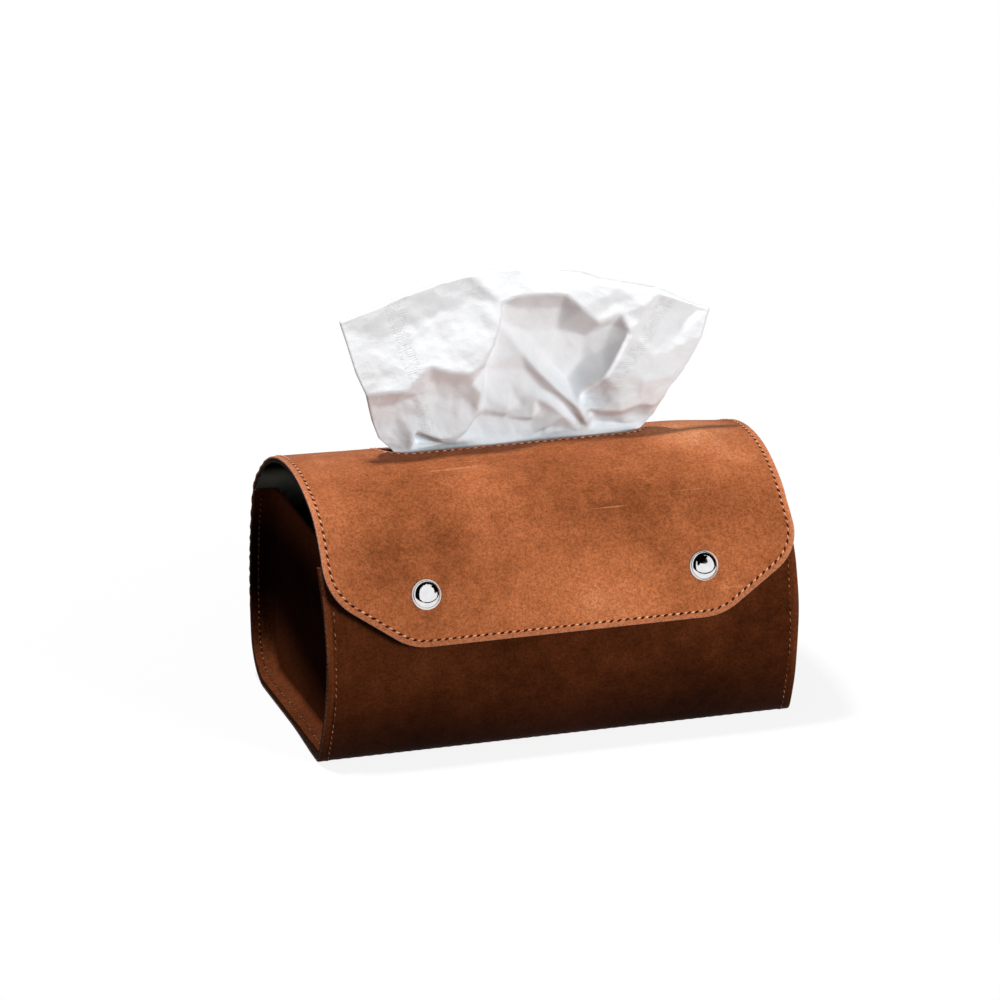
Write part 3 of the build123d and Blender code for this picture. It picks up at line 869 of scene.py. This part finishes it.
def build_seams():
    light = [thread_look, hole_look]
    border = seam("stitches_lid_and_flap", [front_outline(SEAM_IN, SEAM_STEP)], light)
    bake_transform(border)
    loop = slot_loop(SLOT_SEAM, SEAM_STEP)
    round_slot = seam("stitches_slot", [loop + loop[:1]], light, width=0.8, cut=0.8)
    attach(round_slot, "lid")
    back_lid = part_of(back_outline(SEAM_IN, SEAM_STEP), RUN_HINGE + 4, RUN_MEET)
    border = seam("stitches_back_of_lid", back_lid, light)
    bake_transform(border)
    runs = np.arange(3.5, RUN_HINGE - 3, SEAM_STEP)
    inset = END_SEAM + (END_SEAM_BACK - END_SEAM) * ease(runs, RUN_FOOT, RUN_FOOT + 110)
    ends = [[(s * (WIDTH / 2 - d), run) for d, run in zip(inset, runs)] for s in (1, -1)]
    dark = [dark_thread_look, hole_look]
    outer = seam("stitches_ends_outside", ends, dark, width=0.72, cut=0.85, pitch=END_STITCH)
    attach(outer, "tray")
    inner = seam("stitches_ends_inside", ends, dark, WALL_T + GUSSET_T, -1, 0.8, 0.8, END_STITCH)
    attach(inner, "tray")


build_seams()

# ---- press-stud caps
CAP_PROFILE = [  # radius and height over the flap
    (6.70, 0.02), (6.85, 0.14), (6.85, 0.34), (6.70, 0.50), (6.45, 0.54), (6.28, 0.44),
    (6.18, 0.42), (6.05, 0.72), (5.82, 1.10), (5.45, 1.48), (4.95, 1.80), (4.3, 2.08),
    (3.5, 2.30), (2.6, 2.44), (1.6, 2.52), (0.8, 2.55),
]
PEEN = [(1.5, -2.85), (1.5, -3.35), (2.3, -3.4), (2.3, -3.62), (0.9, -3.62), (0.9, -3.3)]
ROUNDS = 48


def build_cap(name, x):
    """A turned cap with its peened shank."""
    out = np.array([0, math.cos(SNAP_TURN), math.sin(SNAP_TURN)])
    right, up = np.array([1.0, 0, 0]), np.array([0, out[2], -out[1]])
    (cy, cz, _), _, _ = wrap_arcs()[0]
    origin = np.array([x, cy, cz]) + out * (FRONT_R + SNAP_RISE)
    vertices = []
    for r, h in CAP_PROFILE + PEEN:
        vertices += ring(origin + out * h, right * r, up * r, ROUNDS)
    top = len(CAP_PROFILE) * ROUNDS
    faces = rings(len(CAP_PROFILE), ROUNDS) + rings(len(PEEN), ROUNDS, top)
    faces += [tuple(range(top - ROUNDS, top)), tuple(reversed(range(ROUNDS)))]
    cap = make_object("cap_" + name, vertices, faces, [chrome])
    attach(cap, "front_flap")
    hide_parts("snap_cap_" + name)


build_cap("left", -SNAP_X)
build_cap("right", SNAP_X)

# ---- tissues
SHEET = (190.0, 150.0)  # width, and the length that is out of the stack
THROAT_HALF = 57.5
THROAT_Z = 121.0
STACK_TOP = 61.3
LEFT_EDGE = [(-57.5, 121), (-59.5, 123.5), (-66, 130), (-69.5, 139), (-74.5, 153), (-79.5, 165),
             (-82.5, 177), (-85.3, 187.5)]
RIGHT_EDGE = [(57.5, 121), (61, 124), (65, 129), (67, 135), (69.5, 142), (77, 150), (82, 158),
              (86.5, 166), (91, 176.5)]
TOP_EDGE = [(-85.3, 187.5), (-70, 192), (-56, 196.4), (-39, 200.8), (-24, 203), (-13, 204.4),
            (-2, 204.4), (12, 202.5), (27, 198.5), (37, 194), (52, 190.5), (65, 187), (80, 180.5),
            (91, 176.5)]
# Where the front of the sheet stands, as x, z and y: its folds as read from the photograph
SPOTS = [
    # top edge
    (-83, 185, -3), (-70, 192, -2), (-56, 197, -1), (-39, 202, 0), (-24, 204, 1), (-2, 204, 1),
    (12, 202, 0), (27, 198, -1), (46, 192, -2), (65, 187, -1), (91, 176, 4),
    # beyond the edges
    (-95, 192, -3), (-92, 165, -10), (-82, 140, 3), (-75, 116, 6), (-60, 210, 1), (0, 215, 2),
    (55, 205, -2), (100, 186, 4), (100, 162, 0), (85, 140, 0), (75, 116, 5), (0, 114, 6),
    # left wing, bulging forwards to a crest
    (-68, 178, -4), (-44, 186, -1), (-25, 193, 1), (-60, 166, -7), (-37, 174, -4), (-80, 172, -6),
    (-75, 154.5, -9), (-66, 155, -10), (-57, 155, -10), (-51, 160, -9), (-45, 165, -8),
    (-40, 163, -8), (-34, 161, -8), (-28, 160, -9), (-24, 161, -9),
    # turned in under it
    (-72, 148, -4), (-68, 139, 2), (-60, 146, 0), (-55, 141, 2), (-49, 150, -1), (-43, 156, -1),
    (-38, 147, 2), (-33, 153, -1), (-27, 146, 1), (-24, 154, -4), (-60, 133, 4), (-44, 138, 2),
    # roll at its left foot, with the opening beside it
    (-52, 133, 1), (-51, 128, 1), (-51, 123, 4), (-56, 128, 4), (-61, 126, 5), (-57, 122, 6),
    (-48, 128, 9), (-47, 124, 10), (-42, 125, 8), (-49, 132.5, 1), (-42, 129.5, 0),
    (-36, 127, 1), (-32, 124.5, 3),
    # sharp left side of the pocket, and its foot
    (-10, 190, -4), (-12, 180, -7), (-15, 172, -8), (-20, 164, -9), (-20, 150, -4), (-20, 139, 0),
    (-26, 131, 1), (-7, 187, 6), (-8, 178, 9), (-10, 168, 9), (-15, 157, 7), (-16, 148, 4),
    (-17, 140, 3), (-19, 135, 6), (-24, 128, 6), (-14, 126, 6),
    # lip over the pocket
    (-2, 192, -3), (8, 192.5, -4), (19, 192, -5), (27, 185, -5), (35, 177, -5), (46, 180, -4),
    (57, 182.5, -4),
    # the pocket
    (2, 184, 6), (20, 183, 5), (20, 172, 9), (6, 172, 9), (33, 168, 7), (30, 156, 7),
    (44, 174, 2), (40, 163, 3), (12, 163, 7),
    # first ridge, and the ground behind it
    (1, 164, 3), (7, 157, 0), (13, 150.5, -2), (19, 144.5, -3), (26, 138, -3), (30, 131, -1),
    (33.5, 125, 4), (17, 155, 8), (24, 148, 8), (30, 141, 5), (34, 133, 5), (37, 126, 7),
    # second ridge, and the dip between them
    (-4, 149, 4), (1, 147, 3), (7, 143, 1), (13, 140, -1), (20, 134, -1), (28, 125, 4),
    (3, 156, 5), (10, 147, 3), (17, 142, 2), (23, 135, 3), (29, 128, 4),
    # fold along the foot
    (-18, 138.5, 2), (-6, 136, 2), (6, 133, 2), (15, 130, 2), (-17, 136, 6), (-6, 133.5, 6),
    (6, 130.5, 6), (16, 127, 6), (-5, 124, 6), (8, 124, 6), (18, 123, 6), (0, 140, 4),
    (10, 136, 3),
    # right wing, forwards again, with a small fold near its top
    (57, 179, -3), (50, 171, -6), (44, 160, -7), (38, 151, -6), (29, 144, 0), (66, 181, 1),
    (76, 176, 3), (63, 174, -1), (70, 171, 1), (80, 171, 1), (84, 165, 0), (69, 160, -3),
    (60, 160, -5), (69, 148, -4), (56, 148, -6), (78, 154, -1), (70, 143, -2), (45, 145, -6),
    # folded in under the right wing
    (31, 136, 0), (38, 135, -2), (46, 134.5, -4), (55, 136.5, -4), (63, 135, -1), (67, 135, 1),
    (36, 131, 5), (44, 130, 4), (50, 131, 2), (56, 131, 4), (62, 128, 5), (41, 126, 8),
    (50, 126, 6), (58, 124, 7),
]


def facets(spots, points):
    """Depths at points of a creased sheet: flat between the spots, creased along their links."""
    out = delaunay_2d_cdt([Vector(p[:2]) for p in spots], [], [], 0, 1e-4)
    corners = np.array([tuple(v) for v in out[0]])
    depth = np.array([spots[origins[0]][2] for origins in out[3]])
    found = np.zeros(len(points))
    for t in out[2]:
        a, b, c = corners[list(t)]
        sides = np.array([b - a, c - a]).T
        if abs(np.linalg.det(sides)) < 1e-6:
            continue
        low, high = np.min((a, b, c), 0), np.max((a, b, c), 0)
        close = np.flatnonzero(((points >= low) & (points <= high)).all(1))
        share = np.linalg.solve(sides, (points[close] - a).T)
        inside = (share > -1e-9).all(0) & (share.sum(0) < 1 + 1e-9)
        da, db, dc = depth[list(t)]
        depths = da + share[0] * (db - da) + share[1] * (dc - da)
        found[close[inside]] = depths[inside]
    return found


CRUMPLE_X, CRUMPLE_Z = (-105, 112), (105, 220)


def crumple(points, pitch, seed):
    """Random facets of soft paper, from -1 to 1."""
    draw = random.Random(seed)

    def moved(at):
        return at + draw.uniform(-0.45, 0.45) * pitch

    spots = [(moved(x), moved(z), draw.uniform(-1, 1))
             for x in np.arange(*CRUMPLE_X, pitch) for z in np.arange(*CRUMPLE_Z, pitch)]
    return facets(spots, points)


PLY_LIFT = 3.0  # the back ply shows above the front one at the top right
COLUMNS, ROWS, ROWS_BELOW = 160, 78, 20
NECK_Y = 6.0  # the sheet's middle in the slot
SLOT_NEAR_Y, SLOT_FAR_Y = 3.8, 29.0  # it stays between these in the slot


def fan():
    """Flat (x, z) places over the fan, between its side and top edges."""
    u, v = np.linspace(0, 1, COLUMNS + 1), np.linspace(0, 1, ROWS + 1)
    left, right = along(LEFT_EDGE, v), along(RIGHT_EDGE, v)
    top = along(TOP_EDGE, u)
    bottom = np.stack([np.linspace(-THROAT_HALF, THROAT_HALF, COLUMNS + 1),
                       np.full(COLUMNS + 1, THROAT_Z)], -1)
    u, v = u[None, :, None], v[:, None, None]
    ruled = (1 - u) * left[:, None] + u * right[:, None] + (1 - v) * bottom + v * top
    corners = (1 - u) * (1 - v) * bottom[0] + u * (1 - v) * bottom[-1]
    corners = corners + (1 - u) * v * top[0] + u * v * top[-1]
    return ruled - corners


def sheet_places():
    """(x, z) places of the whole sheet, from the stack up through the slot and over the fan."""
    places = fan()
    under = np.repeat(places[:1], ROWS_BELOW, 0)
    under[:, :, 1] = np.linspace(STACK_TOP, THROAT_Z, ROWS_BELOW + 1)[:-1, None]
    return np.concatenate([under, places])


def front_ply(x, z, out):
    """Depths of the front ply: its read folds and two sizes of crumples."""
    held = np.maximum(np.stack([x, z], -1).reshape(-1, 2), [-1e9, THROAT_Z + 1])
    rough = 0.45 + 0.5 * (1 - ease(z, 138, 165))
    front = facets(SPOTS, held).reshape(x.shape)
    front = front + rough * crumple(held, 12.0, 3).reshape(x.shape)
    front = front + 0.62 * rough * crumple(held, 4.4, 5).reshape(x.shape)
    beside = front[:-2, 1:-1] + front[2:, 1:-1] + front[1:-1, :-2] + front[1:-1, 2:]
    front[1:-1, 1:-1] = 0.7 * front[1:-1, 1:-1] + 0.075 * beside
    neck = NECK_Y + 1.6 * np.sin(x / 7.5) * (1 - ease(np.abs(x), 45, 57))
    front = front * (1 - out) + neck * out
    return np.maximum(front, SLOT_NEAR_Y - 18 * ease(z, 123.5, 140))


def back_ply(x, z, out, front):
    """Depths of the back ply: apart from the front one low down, close to it above."""
    spread = 1.0 + 15 * (1 - ease(z, 122, 168)) * (1 - ease(np.abs(x) - 0.4 * (z - 122), 38, 60))
    spread = spread + 0.9 * ease(x, 8, 40) * ease(z, 165, 190)
    folds = 2.2 * np.sin(x / 9 + z / 40) * (1 - ease(z, 150, 185)) * (1 - ease(np.abs(x), 40, 57))
    back = front * (1 - out) + NECK_Y * out + spread + folds * ease(spread, 3, 10)
    return np.minimum(np.maximum(back, front + 0.6), SLOT_FAR_Y + 30 * ease(z, 125, 150))


def build_tissue():
    """A pulled tissue: two plies that stand apart in the slot and close towards the top."""
    x, z = np.moveaxis(sheet_places(), -1, 0)
    out = 1 - ease(z, THROAT_Z, THROAT_Z + 5)
    front = front_ply(x, z, out)
    back = back_ply(x, z, out, front)
    lift = PLY_LIFT * ease(x, 8, 36) * (1 - ease(x, 60, 92)) * ease(z, 160, 185)
    width = SHEET[0] * (np.linspace(0, 1, COLUMNS + 1) - 0.5)
    length = np.linspace(0, SHEET[1], len(x))
    uv_one = np.stack(np.meshgrid(width, length), -1).reshape(-1, 2)
    vertices = [*np.stack([x, front, z], -1).reshape(-1, 3),
                *np.stack([x, back, z + lift], -1).reshape(-1, 3)]
    n, wide = x.size, COLUMNS + 1
    grid = np.arange(n).reshape(x.shape)
    faces = []
    for a in grid[:-1, :-1].ravel():
        faces.append((a, a + 1, a + wide + 1, a + wide))
        faces.append((a + n, a + n + wide, a + n + wide + 1, a + n + 1))
    border = [*grid[0], *grid[1:, -1], *grid[-1, -2::-1], *grid[-2:0:-1, 0]]
    for a, b in zip(border, border[1:] + border[:1]):
        faces.append((b, a, a + n, b + n))
    outside = np.tile(ease(z, 122, 130).ravel(), 2)
    tissue = make_object("tissue_sheet", vertices, faces, [paper], [*uv_one, *uv_one],
                         floats={"outside": outside})
    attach(tissue, "tissue")
    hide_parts("pulled_tissue")


STACK_L, STACK_W, STACK_H = 190.0, 97.0, 58.0
STACK_Y, STACK_FOOT, STACK_R = -1.8, 2.95, 5.0
FOLDS = 34
STACK_PARTS = 4, 8, 8  # of a corner, a long side and a short one


def build_stack():
    """The pack of folded tissues, with the edges of its folds round the sides."""
    loop = round_box(STACK_L / 2 - STACK_R, STACK_W / 2 - STACK_R, *STACK_PARTS)
    n, vertices = len(loop), []
    for i in range(2 * FOLDS + 1):
        z = STACK_FOOT + STACK_H * i / (2 * FOLDS)
        for k, (cx, cy, t) in enumerate(loop):
            waver = noise.noise(Vector((k / 3, i / 5, 1)))
            r = STACK_R - (0.75 if i % 2 == 0 else 0.05) - 0.35 * abs(waver)
            vertices.append((cx + r * math.cos(t), STACK_Y + cy + r * math.sin(t), z))
    faces = rings(2 * FOLDS + 1, n)
    faces.append(tuple(reversed(range(n))))
    faces.append(tuple(range(len(vertices) - n, len(vertices))))
    stack = make_object("tissue_pack", vertices, faces, [stack_look])
    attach(stack, "tray")
    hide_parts("tissue_stack")


build_stack()
build_tissue()

# ---- CAD pieces that stay
for name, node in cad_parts.items():
    look = gusset_look if "gusset" in name else steel if "spring" in name else chrome
    for material_slot in node.material_slots:
        material_slot.material = look


# ---- camera, floor and light
def aim(obj, target):
    obj.rotation_euler = (target - obj.location).to_track_quat("-Z", "Y").to_euler()


AZIMUTH, ELEVATION, DISTANCE = -17.54, 18.47, 2.26534
LENS, SENSOR = 180, 36
FLOOR_HALF, FLOOR_DROP = 6.0, 0.0004
WHITE = (1, 1, 1, 1)
TARGET = Vector((-0.01011, 0.0, 0.09633))


def build_camera():
    camera = new_object("Camera", bpy.data.cameras.new("Camera"))
    camera.data.lens = LENS
    camera.data.sensor_width = SENSOR
    camera.location = around(AZIMUTH, ELEVATION, DISTANCE, TARGET)
    aim(camera, TARGET)
    bpy.context.scene.camera = camera


def build_world(level):
    """White where it is seen, straight or in a mirror or glass; grey for soft light."""
    n = Nodes("Studio", "worlds")
    bpy.context.scene.world = n.owner
    soft = n.tree.nodes["Background"]
    n.put(soft.inputs["Color"], WHITE)
    n.put(soft.inputs["Strength"], level)
    white = n.add("Background", {"Color": WHITE}).outputs[0]
    n.surface("World Output", n.add("MixShader", {0: n.is_seen(), 1: soft.outputs[0], 2: white}))


def build_floor():
    """White with a faint shadow to the camera, dark to the light that bounces off it."""
    n = Nodes("floor")
    dark = n.add("BsdfDiffuse", {"Color": (0.06, 0.055, 0.05, 1)}).outputs[0]
    pale = n.add("BsdfDiffuse", {"Color": (0.95, 0.95, 0.95, 1)}).outputs[0]
    white = n.add("Emission", {"Strength": 1.0}).outputs[0]
    away = n.add("VectorMath", {0: n.local()}, operation="LENGTH").outputs["Value"]
    seen = n.add("MixShader", {0: n.span(away, 0.12, 0.34, 0.86, 1.0), 1: pale, 2: white})
    mix = n.add("MixShader", {0: n.is_seen(), 1: dark, 2: seen.outputs[0]})
    n.surface("Material Output", mix)
    r = FLOOR_HALF
    corners = [(-r, -r, 0), (r, -r, 0), (r, r, 0), (-r, r, 0)]
    floor = new_object("floor", new_mesh("floor", corners, [(0, 1, 2, 3)], [n.owner]))
    floor.location.z = -FLOOR_DROP


CENTRE = Vector((0, 0, 0.08))


def around(azimuth, elevation, distance, centre=CENTRE):
    """A place round the object; azimuth 0 is in front, 90 to its right."""
    a, e = math.radians(azimuth), math.radians(elevation)
    way = Vector((math.sin(a) * math.cos(e), -math.cos(a) * math.cos(e), math.sin(e)))
    return centre + way * distance


def softbox(name, azimuth, elevation, distance, size, watts):
    """A square lamp that isn't seen in reflections."""
    lamp = new_object(name, bpy.data.lights.new(name, "AREA"))
    lamp.data.size = size
    lamp.data.energy = watts
    lamp.location = around(azimuth, elevation, distance)
    lamp.visible_glossy = False
    aim(lamp, CENTRE)


def screen(name, vertices, faces):
    """Black cloth that only reflections see, as a studio hangs round polished metal."""
    n = Nodes(name)
    weave = n.noise(n.local(), 900, 3)
    look = n.finish(n.ramp(weave, (0.3, rgb(10, 10, 11)), (0.7, rgb(20, 20, 22))), 1.0, 0.0)
    cloth = new_object(name, new_mesh(name, vertices, faces, [look]))
    for kind in ("camera", "diffuse", "transmission", "volume_scatter", "shadow"):
        setattr(cloth, "visible_" + kind, False)


HOOD_BANDS, HOOD_SIDES, HOOD_FOOT = 28, 60, 0.0003
FLAG_SIDES = 24
CAP_Y = -0.07


def build_hood(radius, window_at, window, brim):
    """Black cloth in a wide ring round the front lamp, for the rings in the caps."""
    def on_hood(side, band, distance):
        return around(360 * side / HOOD_SIDES, 180 * band / HOOD_BANDS - 90, distance)

    way = (around(*window_at, 1.0) - CENTRE).normalized()
    vertices, faces = [], []
    for band in range(HOOD_BANDS + 1):
        for side in range(HOOD_SIDES):
            p = on_hood(side, band, radius)
            vertices.append((p.x, p.y, max(p.z, HOOD_FOOT)))
    for i, face in enumerate(rings(HOOD_BANDS + 1, HOOD_SIDES)):
        middle = on_hood(i % HOOD_SIDES + 0.5, i // HOOD_SIDES + 0.5, 1.0) - CENTRE
        if math.radians(window) < middle.angle(way) < math.radians(brim):
            faces.append(face)
    screen("hood", vertices, faces)


def build_flag(azimuth, elevation, distance, radius):
    """A small uneven round of black cloth that darkens part of the right cap's window."""
    cap = Vector((SNAP_X * MM, CAP_Y, SNAP_Z * MM))
    centre = around(azimuth, elevation, distance, cap)
    turn = (cap - centre).to_track_quat("-Z", "Y")
    rim = []
    for k in range(FLAG_SIDES):
        t = math.tau * k / FLAG_SIDES
        reach = radius * (1 + 0.2 * math.sin(k * 1.3))
        rim.append(centre + turn @ (Vector((math.cos(t), math.sin(t), 0)) * reach))
    screen("flag", rim, [tuple(range(FLAG_SIDES))])


build_camera()
build_world(0.18)
build_floor()
softbox("front", azimuth=26, elevation=13, distance=1.2, size=0.34, watts=10.1)
softbox("top", azimuth=-94, elevation=78, distance=1.2, size=0.1, watts=12.4)
build_hood(radius=0.95, window_at=(18, 19), window=36, brim=82)
build_flag(azimuth=6, elevation=44, distance=0.12, radius=0.055)
bpy.context.scene.view_settings.view_transform = "Standard"
